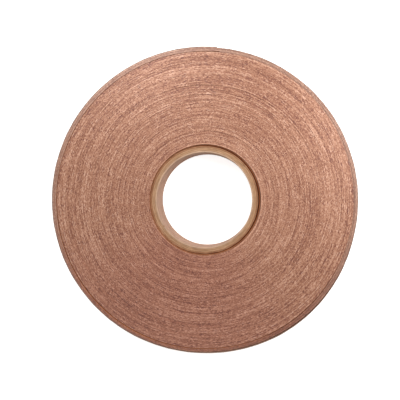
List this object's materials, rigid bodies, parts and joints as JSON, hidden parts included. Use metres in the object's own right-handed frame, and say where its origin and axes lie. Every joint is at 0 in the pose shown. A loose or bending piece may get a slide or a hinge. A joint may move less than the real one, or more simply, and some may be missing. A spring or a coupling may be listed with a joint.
{
  "type": "copper foil tape roll",
  "caption": "Flat round roll of copper foil tape wound on a paper core, with loose outer turns and a free end that lifts while its paper liner peels away from the adhesive.",
  "frame": {"origin": "on the axis of the core's bore, in the plane of the lower wound face that the roll rests on", "axes": "+Z along the bore, out of the upper wound face, which the picture shows; +X points right and +Y up in the picture"},
  "size_m": [0.0814, 0.0816, 0.0064],
  "materials": {
    "core_board": "matt kraft board with a cut, slightly fuzzy edge",
    "core_paper": "matt kraft paper",
    "wound_tape": "slit edges of copper foil, adhesive and paper side by side, satin",
    "liner_paper": "smooth light tan release paper",
    "adhesive": "clear tacky film, glossy",
    "copper_foil": "bright rolled copper with fine lengthwise lines"
  },
  "bodies": {
    "roll": {"core_ply_1": "core_board", "core_ply_2": "core_board", "core_ply_3": "core_board", "core_ply_4": "core_board", "core_wrap": "core_paper", "tape_pack": "wound_tape", "loose_turns": "wound_tape", "outer_turn_liner": "liner_paper", "outer_turn_adhesive": "adhesive", "outer_turn_foil": "copper_foil"},
    "free_end": {"tail_adhesive": "adhesive", "tail_foil": "copper_foil"},
    "liner_end": {"tail_liner": "liner_paper"}
  },
  "joints": [
    {"name": "free_end_lift", "type": "hinge", "parent": "roll", "child": "free_end", "pos_m": [-0.02049, 0.0351, 0.00323], "axis": [0, 0, 1], "range_deg": [0, 120]},
    {"name": "liner_end_lift", "type": "hinge", "parent": "roll", "child": "liner_end", "pos_m": [-0.02049, 0.0351, 0.00323], "axis": [0, 0, 1], "range_deg": [0, 78]}
  ],
  "couplings": [
    {"joint": "liner_end_lift", "follows": "free_end_lift", "ratio": 0.65}
  ]
}
